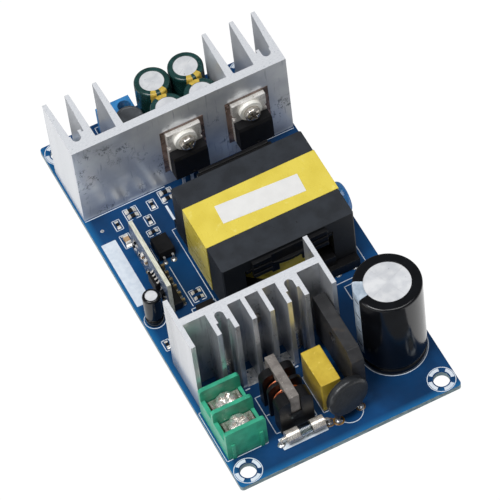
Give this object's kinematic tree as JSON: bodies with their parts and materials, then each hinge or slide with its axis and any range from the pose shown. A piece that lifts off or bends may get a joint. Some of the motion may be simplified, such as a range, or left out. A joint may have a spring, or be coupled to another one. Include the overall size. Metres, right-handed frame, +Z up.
{
  "type": "open-frame power supply module",
  "caption": "Long circuit board with finned heatsinks, a taped transformer, upright capacitors and screw terminals at both ends, turning mains into low-voltage direct current.",
  "frame": {"origin": "middle of the rectangle of the four mounting holes, on the underside of the board", "axes": "+Y along the board to the output end, +Z up out of the component side, +X to the right seen from the mains end"},
  "size_m": [0.065, 0.125, 0.0346],
  "materials": {
    "blue_solder_mask": "glass laminate under blue solder mask",
    "extruded_aluminium": "mill finish, sawn ends",
    "zinc_plated_steel": "bright zinc plate",
    "black_epoxy_mould": "moulded epoxy",
    "tinned_copper": "tin plate",
    "mica_sheet": "split mica",
    "silicone_pad": "filled silicone",
    "white_nylon": "moulded",
    "dark_ferrite": "ground and sealed ferrite",
    "grey_ferrite": "sintered ferrite",
    "black_phenolic": "moulded phenolic",
    "yellow_film_tape": "polyester film tape",
    "white_label": "bare paper label",
    "can_aluminium": "drawn aluminium",
    "black_sleeve": "shrunk sleeve",
    "green_sleeve": "shrunk sleeve with plain gold bars",
    "green_nylon": "moulded",
    "blue_nylon": "moulded",
    "bare_brass": "turned brass",
    "enamelled_copper": "enamelled copper wire",
    "yellow_box": "moulded box, potted",
    "black_coating": "dipped coating",
    "clear_glass": "drawn glass tube",
    "nickel_plate": "nickel plate",
    "blue_coating": "dipped epoxy coating",
    "bare_laminate": "glass laminate"
  },
  "bodies": {
    "root": {"circuit_board": "blue_solder_mask", "rear_heatsink": "extruded_aluminium", "front_heatsink": "extruded_aluminium", "heatsink_screws": "zinc_plated_steel", "left_rectifier_body": "black_epoxy_mould", "left_rectifier_frame": "tinned_copper", "right_rectifier_body": "black_epoxy_mould", "right_rectifier_frame": "tinned_copper", "transistor_body": "black_epoxy_mould", "transistor_frame": "tinned_copper", "mica_sheets": "mica_sheet", "transistor_pad": "silicone_pad", "shoulder_bushes": "white_nylon", "device_screws": "zinc_plated_steel", "core_upper": "dark_ferrite", "core_lower": "dark_ferrite", "bobbin": "black_phenolic", "winding": "yellow_film_tape", "core_tape": "yellow_film_tape", "core_label": "white_label", "bobbin_pins": "tinned_copper", "bulk_can": "can_aluminium", "bulk_sleeve": "black_sleeve", "output_can_1": "can_aluminium", "output_can_2": "can_aluminium", "output_can_3": "can_aluminium", "output_can_4": "can_aluminium", "output_sleeve_1": "green_sleeve", "output_sleeve_2": "green_sleeve", "output_sleeve_3": "green_sleeve", "output_sleeve_4": "green_sleeve", "supply_can": "can_aluminium", "supply_sleeve": "black_sleeve", "input_housing": "green_nylon", "input_contacts": "nickel_plate", "input_clamps": "nickel_plate", "input_screws": "nickel_plate", "output_housing": "blue_nylon", "output_cages": "bare_brass", "output_screws": "bare_brass", "choke_core": "grey_ferrite", "choke_bobbin": "black_phenolic", "choke_windings": "enamelled_copper", "film_capacitor": "yellow_box", "bridge_body": "black_epoxy_mould", "bridge_leads": "tinned_copper", "inrush_disc": "black_coating", "fuse_tube": "clear_glass", "fuse_caps": "nickel_plate", "safety_disc": "blue_coating", "output_inductor": "black_sleeve", "control_board": "bare_laminate", "control_chips": "black_epoxy_mould", "control_header": "black_phenolic", "header_pins": "bare_brass", "coupler_body": "black_epoxy_mould", "coupler_legs": "tinned_copper", "chip_parts": "black_epoxy_mould", "lead_wires": "tinned_copper"}
  },
  "joints": []
}
